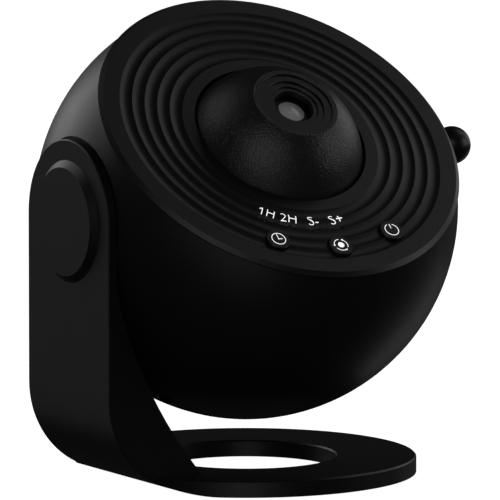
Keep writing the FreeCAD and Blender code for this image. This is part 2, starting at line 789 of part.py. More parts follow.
# ---------------------------------------------------------------- the ball
def make_rear_shell():
    """The ball behind the face plate, with everything that is moulded into it."""
    body = new_body("rear_shell", place_head)
    nose_hole = "(jack_nose + jack_nose_gap)"
    inside_floor = f"({RECESS_FLOOR} + recess_floor)"
    spin(body, [
        (RIM_OUTER, RIM),
        ("recess_radius", "-sqrt(ball_radius^2 - recess_radius^2)", "ball_radius", -1),
        ("recess_radius", RECESS_FLOOR),
        (nose_hole, RECESS_FLOOR),
        (nose_hole, inside_floor),
        (CUP_RADIUS, inside_floor),
        (CUP_RADIUS, f"-sqrt({SHELL_INNER}^2 - {CUP_RADIUS}^2)"),
        (RIM_INNER, RIM, SHELL_INNER, 1),
    ])
    # the four screw posts, cut off where they would leave the ball
    pillars(body, FOUR_BOSSES, "post_radius", POST_ROOT, "post_level")
    low, high = f"({POST_ROOT} - post_trim_below)", f"({POST_ROOT} + post_trim_above)"
    spin(body, [
        (f"sqrt(ball_radius^2 - {low}^2)", low),
        (f"sqrt(ball_radius^2 - {high}^2)", high, "ball_radius", 1),
        ("ball_radius + cut_over", high),
        ("ball_radius + cut_over", low),
    ], cut=True)
    seat = "(post_level - post_floor)"
    drill(body, FOUR_BOSSES, "well_radius", low, seat)
    drill(body, FOUR_BOSSES, "shell_screw_radius + screw_gap", f"{seat} - cut_over",
          "post_level")
    # the flat side with the hub of the pivot
    side = draw_circle(new_sketch(body, "YZ", f"-{FACET}"), f"{FACET_RADIUS} - facet_lip")
    pocket(body, side, "ball_radius")
    pillars(body, [("0", "0")], f"{FACET_RADIUS} - facet_inset", f"-{FACET}",
            f"facet_wall - {FACET}", plane="YZ")
    pillars(body, [("0", "0")], "hub_radius", f"-{FACET}", HUB_END, plane="YZ")
    drill(body, [("0", "0")], "bush_radius", f"-{FACET} - cut_over", HUB_END, plane="YZ")
    # the hollow track that the focus knob runs in, and the slot for its stem
    reach = "2 * (focus_turn + track_end) * 1 deg"
    track = draw_circle(new_sketch(body, "XZ"), "knob_radius + knob_gap",
                        (KNOB_REACH, "knob_level"))
    hollow = body.newObject("PartDesign::Groove", "knob_track")
    hollow.Profile = track
    hollow.ReferenceAxis = (track, ["V_Axis"])
    hollow.Midplane = True
    hollow.setExpression("Angle", bind(reach))
    spin(body, [
        ("ring_inner + ring_wall + cut_over", "knob_level - slot_below"),
        (KNOB_REACH, "knob_level - slot_below"),
        (KNOB_REACH, "knob_level + slot_above"),
        ("ring_inner + ring_wall + cut_over", "knob_level + slot_above"),
    ], cut=True, angle=reach)
    # posts for the power board
    pillars(body, FOUR_REAR, "rear_post_radius", REAR_POST_ROOT, REAR_BOARD_LEVEL)
    drill(body, FOUR_REAR, "small_screw_radius + pilot_gap",
          f"{REAR_BOARD_LEVEL} - pilot_depth", REAR_BOARD_LEVEL)
    vent = drill(body, [("vent_circle", "0")], "vent_radius", "-ball_radius - cut_over",
                 inside_floor)
    repeat(body, vent, "vent_count")
    return body


def make_front_bezel():
    """The round face plate: five round grooves, the dome's collar and the bosses."""
    body = new_body("front_bezel", place_head)
    pitch = f"((scallop_outer - scallop_inner) / {SCALLOPS})"
    curve = f"(({pitch}^2 / 4 + scallop_depth^2) / (2 * scallop_depth))"
    lip_outer = f"({RIM_INNER} - lip_gap)"
    lip_low = f"({RIM} - lip_depth)"
    collar_outer = "(collar_radius + collar_wall)"
    grooves = [(f"scallop_inner + {number} * {pitch}", "face_level", curve, 1)
               for number in range(1, SCALLOPS + 1)]
    spin(body, [
        ("collar_radius", "face_level"),
        ("scallop_inner", "face_level"),
        *grooves,
        (FACE_RADIUS, "face_level"),
        (FLANGE_RADIUS, "face_level - face_chamfer"),
        (FLANGE_RADIUS, RIM),
        (lip_outer, RIM),
        (lip_outer, lip_low),
        (f"{lip_outer} - lip_width", lip_low),
        (f"{lip_outer} - lip_width", PLATE_BACK),
        (collar_outer, PLATE_BACK),
        (collar_outer, "ledge_level - ledge_thickness"),
        ("collar_radius - collar_ledge", "ledge_level - ledge_thickness"),
        ("collar_radius - collar_ledge", "ledge_level"),
        ("collar_radius", "ledge_level"),
    ])
    pillars(body, FOUR_BOSSES, "boss_radius", "post_level", PLATE_BACK)
    pillars(body, EAR_SPOTS, "ear_boss_radius", EAR_TOP, PLATE_BACK)
    pillars(body, BOARD_SPOTS, "board_boss_radius", BOARD_TOP, PLATE_BACK)
    drill(body, FOUR_BOSSES, "shell_screw_radius + pilot_gap", "post_level - cut_over",
          "post_level + shell_screw_grip + pilot_over")
    small = "small_screw_radius + pilot_gap"
    drill(body, EAR_SPOTS, small, f"{EAR_TOP} - cut_over", f"{EAR_TOP} + pilot_depth")
    drill(body, BOARD_SPOTS, small, f"{BOARD_TOP} - cut_over", f"{BOARD_TOP} + pilot_depth")
    drill(body, list(BUTTON_SPOTS.values()), "button_radius + button_gap",
          f"{PLATE_BACK} - cut_over", "face_level + cut_over")
    drill(body, LIGHT_SPOTS, "light_radius + light_gap", f"{PLATE_BACK} - cut_over",
          "face_level + cut_over")
    return body


def make_shell_screws():
    """Four long screws, driven from behind through the wells."""
    sizes = ("shell_screw_radius", "shell_screw_head", "shell_screw_head_height")
    screws("shell_screws", place_head, FOUR_BOSSES, "post_level - post_floor",
           "post_floor + shell_screw_grip", sizes)


# ---------------------------------------------------------------- buttons and their board
def make_buttons():
    """Three round buttons, each with the plunger of the switch below it."""
    for name, spot in BUTTON_SPOTS.items():
        body = new_body(f"{name}_button", place_head)
        pillars(body, [spot], "button_flange", BUTTON_BACK,
                f"{BUTTON_BACK} + button_flange_thickness")
        pillars(body, [spot], "button_radius", BUTTON_BACK, BUTTON_TOP)
        doc.recompute()
        soften(body, "button_edge", [("button_radius", BUTTON_TOP)])
        body = new_body(f"{name}_plunger", place_head)
        pillars(body, [spot], "plunger_radius", f"{BOARD_TOP} + plunger_root", BUTTON_BACK)


def make_control_board():
    """The board behind the buttons, with switches, lamps and light pipes."""
    body = new_body("control_board", place_head)
    edges = ["-90 - board_half_angle", "-90 + board_half_angle"]
    outline = new_sketch(body, "XY", BOARD_BACK)
    draw(outline, [
        polar("board_outer", edges[0]),
        (*polar("board_outer", edges[1]), "board_outer", 1),
        polar("board_inner", edges[1]),
        (*polar("board_inner", edges[0]), "board_inner", -1),
    ])
    for spot in BOARD_SPOTS:
        draw_circle(outline, "small_screw_radius + screw_gap", spot)
    pad(body, outline, "board_thickness")
    screws("board_screws", place_head, BOARD_SPOTS, BOARD_BACK, "board_screw_grip", SMALL_SCREW)
    body = new_body("switch_bodies", place_head)
    outline = new_sketch(body, "XY", BOARD_TOP)
    for spot in BUTTON_SPOTS.values():
        draw(outline, box_corners(*spot, "switch_size", "switch_size"))
    pad(body, outline, "switch_height")
    drill(body, list(BUTTON_SPOTS.values()), "plunger_radius + plunger_gap",
          f"{BOARD_TOP} + plunger_root - button_stroke - plunger_gap",
          f"{BOARD_TOP} + switch_height")
    body = new_body("indicator_leds", place_head)
    outline = new_sketch(body, "XY", BOARD_TOP)
    for spot in LIGHT_SPOTS:
        draw(outline, box_corners(*spot, "led_size", "led_size"))
    pad(body, outline, "led_height")
    body = new_body("light_pipes", place_head)
    pillars(body, LIGHT_SPOTS, "light_radius", f"{BOARD_TOP} + led_height",
            "face_level - light_sink")


# ---------------------------------------------------------------- focus drive
def make_focus_drive():
    """A fixed tube, the cam ring round it, and the lever with its round knob."""
    body = new_body("focus_tube", place_head)
    flange = "(ring_inner + ring_wall)"
    spin(body, [
        (TUBE_INNER, "tube_low"),
        (TUBE_OUTER, "tube_low"),
        (TUBE_OUTER, EAR_LOW),
        (flange, EAR_LOW),
        (flange, f"{EAR_LOW} + flange_lip"),
        (TUBE_INNER, f"{EAR_LOW} + flange_lip"),
    ])
    pillars(body, EAR_SPOTS, "ear_radius", EAR_LOW, EAR_TOP)
    drill(body, EAR_SPOTS, "small_screw_head + screw_gap", EAR_LOW, f"{EAR_LOW} + ear_sink")
    drill(body, EAR_SPOTS, "small_screw_radius + screw_gap", EAR_LOW, EAR_TOP)
    room = "(cam_pin_radius + cam_gap)"
    key = new_sketch(body, "YZ")
    draw(key, box_corners("0", "cam_level", f"2 * {room}", f"2 * (focus_travel + {room})"))
    slot = pocket(body, key, "2 * ring_inner")
    repeat(body, slot, "cam_count")
    screws("tube_screws", place_head, EAR_SPOTS, f"{EAR_LOW} + ear_sink", "ear_grip",
           SMALL_SCREW)
    ring("ring_clip", place_head, TUBE_OUTER, f"{TUBE_OUTER} + clip_width",
         "ring_low - tube_gap - clip_thickness", "ring_low - tube_gap")

    body = new_body("focus_ring", place_head)
    spin(body, [
        ("ring_inner", "ring_low"),
        (flange, "ring_low"),
        (flange, "ring_high"),
        ("ring_inner", "ring_high"),
    ])
    run = "((ring_inner + ring_wall / 2) * sin(focus_turn * 1 deg))"
    half = f"({run} + {room})"
    climb = f"(focus_travel * {half} / {run})"
    cam = new_sketch(body, "YZ")
    draw(cam, [
        (f"-{half}", f"cam_level - {climb} - {room}"),
        (half, f"cam_level + {climb} - {room}"),
        (half, f"cam_level + {climb} + {room}"),
        (f"-{half}", f"cam_level - {climb} + {room}"),
    ])
    slot = pocket(body, cam, "2 * ring_inner")
    repeat(body, slot, "cam_count")
    drill(body, [("0", "knob_level")], "stem_radius", "ring_inner - cut_over",
          f"{flange} + cut_over", plane="YZ")

    body = new_body("focus_stem", place_knob)
    pillars(body, [("0", "0")], "stem_radius", "ring_inner + tube_gap", KNOB_REACH)
    body = new_body("focus_knob", place_knob)
    spin(body, [
        ("0", KNOB_REACH),
        ("stem_radius", KNOB_REACH),
        ("stem_radius", f"{KNOB_REACH} - sqrt(knob_radius^2 - stem_radius^2)"),
        ("0", f"{KNOB_REACH} + knob_radius", "knob_radius", 1),
    ])


# ---------------------------------------------------------------- the stage in the tube
MOTOR_SPOT = (SHAFT_REACH, "0")
MOTOR_SCREWS = [(SHAFT_REACH, f"{side} * motor_screw_circle") for side in (-1, 1)]
LAMP_SCREWS = [polar("lamp_screw_circle", angle) for angle in (30, 150, 270)]


def make_stage():
    """The plate that slides in the tube, its cam pins and the motor under it."""
    body = new_body("stage_plate", place_head)
    rim = f"({STAGE_RADIUS} - stage_rim)"
    spin(body, [
        (LAMP_OUTER, "stage_low"),
        (STAGE_RADIUS, "stage_low"),
        (STAGE_RADIUS, STAGE_TOP),
        (rim, STAGE_TOP),
        (rim, DECK_TOP),
        ("hub_ring_radius", DECK_TOP),
        ("hub_ring_radius", HUB_TOP),
        ("hub_ring_radius - hub_ring_wall", HUB_TOP),
        ("hub_ring_radius - hub_ring_wall", DECK_TOP),
        (LAMP_OUTER, DECK_TOP),
    ])
    drill(body, [MOTOR_SPOT], f"{PINION_PITCH} + gear_module + pinion_clear", DECK_TOP,
          f"{STAGE_TOP} + cut_over")
    drill(body, [MOTOR_SPOT], "motor_nose_radius", "stage_low - cut_over", DECK_TOP)
    drill(body, MOTOR_SCREWS, "motor_screw_radius", "stage_low - cut_over", DECK_TOP)
    drill(body, MOTOR_SCREWS, "motor_screw_head", f"{DECK_TOP} - motor_screw_sink", DECK_TOP)
    inner = f"({STAGE_RADIUS} - cam_pin_depth)"
    socket = draw_circle(new_sketch(body, "YZ", f"-{inner}"), "cam_pin_radius",
                         ("0", "cam_level"))
    repeat(body, pocket(body, socket, "2 * cam_pin_depth"), "cam_count")

    body = new_body("cam_pins", place_head)
    pin = pillars(body, [("0", "cam_level")], "cam_pin_radius",
                  f"-{inner} - cam_pin_length", f"-{inner}", plane="YZ")
    repeat(body, pin, "cam_count")

    body = new_body("drive_motor", place_head)
    pillars(body, [MOTOR_SPOT], "motor_radius", "stage_low - motor_length", "stage_low")
    pillars(body, [MOTOR_SPOT], "motor_nose_radius", "stage_low",
            "stage_low + motor_nose_height")
    drill(body, [MOTOR_SPOT], "shaft_radius + shaft_gap", f"{DECK_TOP} - shaft_length",
          DECK_TOP)
    screw_low = f"({DECK_TOP} - motor_screw_sink - motor_screw_length)"
    drill(body, MOTOR_SCREWS, "motor_screw_radius", f"{screw_low} - pilot_gap", "stage_low")
    body = new_body("motor_screws", place_head)
    pillars(body, MOTOR_SCREWS, "motor_screw_radius", screw_low,
            f"{DECK_TOP} - motor_screw_sink")
    pillars(body, MOTOR_SCREWS, "motor_screw_head", f"{DECK_TOP} - motor_screw_sink", DECK_TOP)


def make_gear(body, teeth, low, width, inner, turn="0"):
    """A spur gear: a blank at the roots and one tooth, turned and then repeated."""
    pitch = f"(gear_module * {teeth} / 2)"
    root = f"({pitch} - gear_dedendum * gear_module)"
    tip = f"({pitch} + gear_module)"
    half = "((pi * gear_module / 2 - tooth_backlash) / 2)"
    blank = new_sketch(body, "XY", low)
    draw_circle(blank, root)
    draw_circle(blank, inner)
    pad(body, blank, width)
    tooth = new_sketch(body, "XY", low)
    spin_by = FreeCAD.Rotation(FreeCAD.Vector(0, 0, 1), value(turn))
    tooth.AttachmentOffset = FreeCAD.Placement(tooth.AttachmentOffset.Base, spin_by)
    tooth.setExpression("AttachmentOffset.Rotation.Angle", bind(f"({turn}) * 1 deg"))
    slope = "tan(pressure_angle * 1 deg)"
    foot = f"({root} - tooth_sink)"
    wide = f"({half} + ({pitch} - {foot}) * {slope})"
    thin = f"({half} - gear_module * {slope})"
    draw(tooth, [(foot, f"-{wide}"), (tip, f"-{thin}"), (tip, thin), (foot, wide)])
    repeat(body, pad(body, tooth, width), teeth)


def make_disc_drive():
    """The ring gear that carries the film disc, its clip, and the motor's pinion."""
    body = new_body("disc_gear", place_head)
    make_gear(body, "gear_teeth", GEAR_LOW, "tooth_width", GEAR_BORE)
    root = f"({GEAR_PITCH} - gear_dedendum * gear_module)"
    recess = f"({GEAR_BORE} + clip_recess)"
    rim_inner = "(disc_radius + disc_gap)"
    spin(body, [
        (recess, f"{GEAR_LOW} + tooth_width / 2"),
        (root, f"{GEAR_LOW} + tooth_width / 2"),
        (root, GEAR_TOP),
        (f"{rim_inner} + disc_rim_width", GEAR_TOP),
        (f"{rim_inner} + disc_rim_width", f"{GEAR_TOP} + disc_rim_height"),
        (rim_inner, f"{GEAR_TOP} + disc_rim_height"),
        (rim_inner, GEAR_TOP),
        (recess, GEAR_TOP),
    ])
    ledge = f"({GEAR_TOP} - clip_recess_depth)"
    spin(body, [
        (f"{GEAR_BORE} - cut_over", ledge),
        (recess, ledge),
        (recess, f"{GEAR_TOP} + cut_over"),
        (f"{GEAR_BORE} - cut_over", f"{GEAR_TOP} + cut_over"),
    ], cut=True)
    ring("gear_clip", place_head, "hub_ring_radius - gear_clip_width / 2",
         "hub_ring_radius + gear_clip_width / 2", HUB_TOP, f"{HUB_TOP} + gear_clip_thickness")
    body = new_body("film_disc", place_head)
    pillars(body, [("0", "0")], "disc_radius", DISC_LOW, f"{DISC_LOW} + disc_thickness")
    notch = new_sketch(body, "XY", f"{DISC_LOW} + disc_thickness")
    draw(notch, box_corners("0", "disc_radius", "disc_notch", "disc_notch"))
    pocket(body, notch, "2 * disc_thickness")
    body = new_body("pinion_gear", place_pinion)
    make_gear(body, "pinion_teeth", f"{GEAR_LOW} + pinion_lift",
              "tooth_width - pinion_lift", "shaft_radius", "180 / pinion_teeth")
    body = new_body("motor_shaft", place_pinion)
    pillars(body, [("0", "0")], "shaft_radius", f"{DECK_TOP} - shaft_length + shaft_gap",
            f"{GEAR_LOW} + tooth_width")


# ---------------------------------------------------------------- the lamp
def make_lamp():
    """The light source behind the film disc, hung under the stage."""
    body = new_body("lamp_tube", place_head)
    ledge = "(lamp_tube_bore - condenser_ledge)"
    flange_top = f"({LAMP_LOW} + lamp_flange_thickness)"
    spin(body, [
        ("lamp_tube_bore", DECK_TOP),
        ("lamp_tube_bore", "condenser_low"),
        (ledge, "condenser_low"),
        (ledge, "condenser_low - condenser_ledge_thickness"),
        ("lamp_tube_bore", "condenser_low - condenser_ledge_thickness"),
        ("lamp_tube_bore", LAMP_LOW),
        ("lamp_flange", LAMP_LOW),
        ("lamp_flange", flange_top),
        (LAMP_OUTER, flange_top),
        (LAMP_OUTER, DECK_TOP),
    ])
    hole = "small_screw_radius + pilot_gap"
    drill(body, LAMP_SCREWS, hole, f"{LAMP_LOW} - cut_over", flange_top)
    body = new_body("condenser_lens", place_head)
    bulge = "(lamp_tube_bore^2 + condenser_bulge^2) / (2 * condenser_bulge)"
    spin(body, [
        ("0", "condenser_low"),
        ("lamp_tube_bore", "condenser_low"),
        ("lamp_tube_bore", "condenser_low + condenser_edge"),
        ("0", "condenser_low + condenser_edge + condenser_bulge", bulge, 1),
    ])
    body = new_body("led_board", place_head)
    pillars(body, [("0", "0")], "lamp_flange", SINK_TOP, LAMP_LOW)
    drill(body, LAMP_SCREWS, hole, SINK_TOP, LAMP_LOW)
    body = new_body("led_emitter", place_head)
    spin(body, [
        ("0", LAMP_LOW),
        ("emitter_radius", LAMP_LOW),
        ("emitter_radius", f"{LAMP_LOW} + emitter_base"),
        ("emitter_tip", f"{LAMP_LOW} + emitter_base + emitter_rise"),
        ("0", f"{LAMP_LOW} + emitter_base + emitter_rise"),
    ])
    body = new_body("heat_sink", place_head)
    pillars(body, [("0", "0")], "sink_radius", f"{SINK_TOP} - sink_length", SINK_TOP)
    gaps = new_sketch(body, "XY", f"{SINK_TOP} - sink_plate")
    for number in range(1 - FINS, FINS, 2):
        middle = f"{number} * (fin_width + fin_gap) / 2"
        draw(gaps, box_corners(middle, "0", "fin_gap", "3 * sink_radius"))
    pocket(body, gaps, "sink_length")
    drill(body, LAMP_SCREWS, hole, f"{SINK_TOP} - sink_plate", SINK_TOP)
    body = new_body("lamp_screws", place_head)
    pillars(body, LAMP_SCREWS, "small_screw_head", flange_top,
            f"{flange_top} + small_screw_head_height")
    pillars(body, LAMP_SCREWS, "small_screw_radius", f"{flange_top} - lamp_screw_grip",
            flange_top)


# ---------------------------------------------------------------- the power board
def make_power_board():
    """The board in the rear of the ball, with the socket for the mains adaptor."""
    body = new_body("power_board", place_head)
    pillars(body, [("0", "0")], "rear_board_radius", REAR_BOARD_LEVEL, REAR_BOARD_TOP)
    drill(body, FOUR_REAR, "small_screw_radius + screw_gap", REAR_BOARD_LEVEL,
          REAR_BOARD_TOP)
    body = new_body("power_screws", place_head)
    pillars(body, FOUR_REAR, "small_screw_head", REAR_BOARD_TOP,
            f"{REAR_BOARD_TOP} + small_screw_head_height")
    pillars(body, FOUR_REAR, "small_screw_radius", f"{REAR_BOARD_TOP} - rear_screw_grip",
            REAR_BOARD_TOP)
    body = new_body("power_jack", place_head)
    floor_top = f"({RECESS_FLOOR} + recess_floor + jack_gap)"
    block = new_sketch(body, "XY", floor_top)
    draw(block, box_corners("0", "0", "jack_width", "jack_width"))
    pad(body, block, f"{REAR_BOARD_LEVEL} - {floor_top}")
    pillars(body, [("0", "0")], "jack_nose", RECESS_FLOOR, floor_top)
    drill(body, [("0", "0")], "jack_bore", f"{RECESS_FLOOR} - cut_over",
          f"{RECESS_FLOOR} + jack_depth")
    pillars(body, [("0", "0")], "jack_pin", f"{RECESS_FLOOR} + jack_pin_sink",
            f"{RECESS_FLOOR} + jack_depth")
    body = new_body("driver_chips", place_head)
    chips = new_sketch(body, "XY", REAR_BOARD_TOP)
    draw(chips, box_corners("driver_x", "driver_y", "driver_width", "driver_width"))
    draw(chips, box_corners("charger_x", "charger_y", "charger_width", "charger_length"))
    draw(chips, box_corners("diode_x", "diode_y", "diode_width", "diode_length"))
    pad(body, chips, "chip_height")
    body = new_body("power_choke", place_head)
    pillars(body, [("0", "choke_y")], "choke_radius", REAR_BOARD_TOP,
            f"{REAR_BOARD_TOP} + choke_height")


# ---------------------------------------------------------------- the dome
def make_dome():
    """The dome that lifts off to change the film disc, with the lens in its nose."""
    body = new_body("dome_cover", place_head)
    inner = "(dome_radius - dome_wall)"
    skirt_inner = "(skirt_radius - dome_wall)"
    floor_low = f"({NOZZLE_SEAT} - dome_floor)"
    sleeve_outer = "(barrel_radius + sleeve_wall)"
    spin(body, [
        ("skirt_radius", SKIRT_LOW),
        ("skirt_radius", f"{DOME_CENTRE} + sqrt(dome_radius^2 - skirt_radius^2)"),
        ("sqrt(dome_radius^2 - (dome_top + dome_drop)^2)", NOZZLE_TOP, "dome_radius", 1),
        ("nozzle_seat", NOZZLE_TOP),
        ("nozzle_seat", NOZZLE_SEAT),
        ("barrel_radius", NOZZLE_SEAT),
        ("barrel_radius", f"{NOZZLE_SEAT} - sleeve_length"),
        (sleeve_outer, f"{NOZZLE_SEAT} - sleeve_length"),
        (sleeve_outer, floor_low),
        (f"sqrt({inner}^2 - ({floor_low} - {DOME_CENTRE})^2)", floor_low),
        (skirt_inner, f"{DOME_CENTRE} + sqrt({inner}^2 - {skirt_inner}^2)", inner, -1),
        (skirt_inner, SKIRT_LOW),
    ])
    body = new_body("nozzle_ring", place_head)
    steps = [("nozzle_rim", "0", "step_one_depth"),
             ("nozzle_step_one", "step_one_depth", "step_two_depth"),
             ("nozzle_step_two", "step_two_depth", "step_three_depth"),
             ("nozzle_step_three", "step_three_depth", "step_four_depth")]
    stairs = []
    for radius, above, below in steps:
        stairs.append((f"{radius} + step_edge", f"{NOZZLE_TOP} - {above}"))
        stairs.append((radius, f"{NOZZLE_TOP} - {above} - step_edge"))
        stairs.append((radius, f"{NOZZLE_TOP} - {below}"))
    spin(body, [
        ("nozzle_bore", NOZZLE_SEAT),
        ("nozzle_seat", NOZZLE_SEAT),
        ("nozzle_seat", NOZZLE_TOP),
        *stairs,
        ("nozzle_bore", f"{NOZZLE_TOP} - cone_depth"),
    ])


def make_lens():
    """The projection lens: a barrel, two glasses and a threaded ring."""
    body = new_body("lens_barrel", place_head)
    spin(body, [
        ("lens_radius", NOZZLE_SEAT),
        ("lens_radius", FRONT_SEAT),
        ("lens_seat", FRONT_SEAT),
        ("lens_seat", REAR_SEAT),
        ("lens_radius", REAR_SEAT),
        ("lens_radius", f"{NOZZLE_SEAT} - barrel_length"),
        ("barrel_radius", f"{NOZZLE_SEAT} - barrel_length"),
        ("barrel_radius", NOZZLE_SEAT),
    ])
    edge_top = f"({FRONT_SEAT} + front_lens_edge)"
    bulge = "(front_lens_curve^2 + front_lens_bulge^2) / (2 * front_lens_bulge)"
    body = new_body("front_lens", place_head)
    spin(body, [
        ("0", FRONT_SEAT),
        ("lens_radius", FRONT_SEAT),
        ("lens_radius", edge_top),
        ("front_lens_curve", edge_top),
        ("0", f"{edge_top} + front_lens_bulge", bulge, 1),
    ])
    ring("lens_retainer", place_head, "retainer_bore", "lens_radius",
         edge_top, f"{edge_top} + retainer_thickness")
    bulge = "(lens_radius^2 + rear_lens_bulge^2) / (2 * rear_lens_bulge)"
    body = new_body("rear_lens", place_head)
    spin(body, [
        ("0", f"{REAR_SEAT} - rear_lens_edge - rear_lens_bulge"),
        ("lens_radius", f"{REAR_SEAT} - rear_lens_edge", bulge, 1),
        ("lens_radius", REAR_SEAT),
        ("0", REAR_SEAT),
    ])


def check_and_export():
    """Stop at any failed object or bad shape, then write one file per node."""
    doc.recompute()
    for item in doc.Objects:
        if "Invalid" in item.State or "Error" in item.State:
            raise RuntimeError(f"{item.Label} failed: {item.State}")
    for node in nodes:
        if node.Shape.isNull() or not node.Shape.isValid():
            raise RuntimeError(f"{node.Label} has no valid shape")
    os.makedirs("parts", exist_ok=True)
    for node in nodes:
        node.Shape.exportStep(f"parts/{node.Label}.step")
        print(node.Label, len(node.Shape.Solids), round(node.Shape.Volume, 1))


fill_sheet()
make_stand_bracket()
make_pivot()
make_rear_shell()
make_front_bezel()
make_shell_screws()
make_buttons()
make_control_board()
make_focus_drive()
make_stage()
make_disc_drive()
make_lamp()
make_power_board()
make_dome()
make_lens()
check_and_export()
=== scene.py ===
"""The looks of the tabletop planetarium projector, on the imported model's frame.

Sizes on the object are in millimetres and become metres where a mesh is made. The camera,
the lights and the floor are in metres, and angles are in degrees. "Head" is the ball's own
frame: its origin is the ball's centre, Z is the axis that the stars are thrown along and X
is the pivot.
"""
import json
import math

import bmesh
import bpy
from mathutils import Matrix, Vector


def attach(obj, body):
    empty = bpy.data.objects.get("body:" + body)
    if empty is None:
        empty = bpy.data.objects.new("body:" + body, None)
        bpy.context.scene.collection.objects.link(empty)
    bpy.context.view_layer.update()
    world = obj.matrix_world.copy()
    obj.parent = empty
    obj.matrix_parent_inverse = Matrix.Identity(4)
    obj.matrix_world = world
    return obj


MM = 0.001
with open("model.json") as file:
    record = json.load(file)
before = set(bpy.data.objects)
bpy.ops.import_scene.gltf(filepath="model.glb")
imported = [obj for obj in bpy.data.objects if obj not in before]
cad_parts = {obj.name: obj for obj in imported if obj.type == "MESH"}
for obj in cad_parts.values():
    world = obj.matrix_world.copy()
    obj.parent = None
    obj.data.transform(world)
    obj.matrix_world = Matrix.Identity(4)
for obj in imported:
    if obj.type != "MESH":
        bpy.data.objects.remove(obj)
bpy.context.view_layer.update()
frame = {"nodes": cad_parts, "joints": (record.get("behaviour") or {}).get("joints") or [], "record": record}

# ------------------------------------------------------------------ the frame's own facts
JOINTS = {joint["name"]: joint for joint in frame["joints"]}
PIVOT = Vector(JOINTS["ball_tilt"]["pos_m"])
THROW = Vector(JOINTS["dome_lift"]["axis"]).normalized()
SIDE = Vector((1, 0, 0))
HEAD = Matrix.Translation(PIVOT) @ Matrix((SIDE, THROW.cross(SIDE), THROW)).transposed().to_4x4()

# ------------------------------------------------------------------ sizes of the face, mm
FACE_LEVEL = 35.35
SCALLOP_INNER = 34.45
SCALLOP_OUTER = 56.4
SCALLOP_DEPTH = 0.45
SCALLOP_COUNT = 5
BUTTON_CIRCLE = 51.0
BUTTON_ANGLE = 25.2
BUTTON_RISE = 0.7
INK_LIFT = 0.06
INK_THICKNESS = 0.04


# ------------------------------------------------------------------ materials
GLASS_IOR = 1.5


def new_material(name, colour, roughness, metallic=0.0):
    """A Principled material with its even values set on the shader itself."""
    material = bpy.data.materials.new(name)
    material.use_nodes = True
    shader = material.node_tree.nodes["Principled BSDF"]
    shader.inputs["Base Color"].default_value = (*colour, 1.0)
    shader.inputs["Roughness"].default_value = roughness
    shader.inputs["Metallic"].default_value = metallic
    return material, shader


def grain(material, shader, size, depth, rough_low, rough_high, patch=9.0):
    """Moulded grain: a fine bump, and roughness that drifts over larger patches.

    The grain's size and depth and the patch are in millimetres.
    """
    nodes = material.node_tree.nodes
    links = material.node_tree.links
    place = nodes.new("ShaderNodeTexCoord")
    fine = nodes.new("ShaderNodeTexNoise")
    fine.inputs["Scale"].default_value = 1 / (size * MM)
    fine.inputs["Detail"].default_value = 0.0
    bump = nodes.new("ShaderNodeBump")
    bump.inputs["Strength"].default_value = 1.0
    bump.inputs["Distance"].default_value = depth * MM
    drift = nodes.new("ShaderNodeTexNoise")
    drift.inputs["Scale"].default_value = 1 / (patch * MM)
    drift.inputs["Detail"].default_value = 4.0
    spread = nodes.new("ShaderNodeMapRange")
    spread.inputs["To Min"].default_value = rough_low
    spread.inputs["To Max"].default_value = rough_high
    links.new(place.outputs["Object"], fine.inputs["Vector"])
    links.new(place.outputs["Object"], drift.inputs["Vector"])
    links.new(fine.outputs["Fac"], bump.inputs["Height"])
    links.new(bump.outputs["Normal"], shader.inputs["Normal"])
    links.new(drift.outputs["Fac"], spread.inputs["Value"])
    links.new(spread.outputs["Result"], shader.inputs["Roughness"])
    return material


def plastic(name, colour, roughness, size=0.3, depth=0.004, spread=0.05):
    """Moulded plastic or rubber."""
    material, shader = new_material(name, colour, roughness)
    return grain(material, shader, size, depth, roughness - spread, roughness + spread)


def metal(name, colour, roughness, size=0.5, depth=0.002, spread=0.08):
    """Turned, drawn or plated metal."""
    material, shader = new_material(name, colour, roughness, metallic=1.0)
    return grain(material, shader, size, depth, roughness - spread, roughness + spread, patch=3.0)


def clear(name, colour, roughness, through=0.9):
    """Glass or clear plastic that lets the given share of the light through."""
    material, shader = new_material(name, colour, roughness)
    shader.inputs["Transmission Weight"].default_value = through
    shader.inputs["IOR"].default_value = GLASS_IOR
    return grain(material, shader, 2.0, 0.0002, roughness, roughness + 0.02)


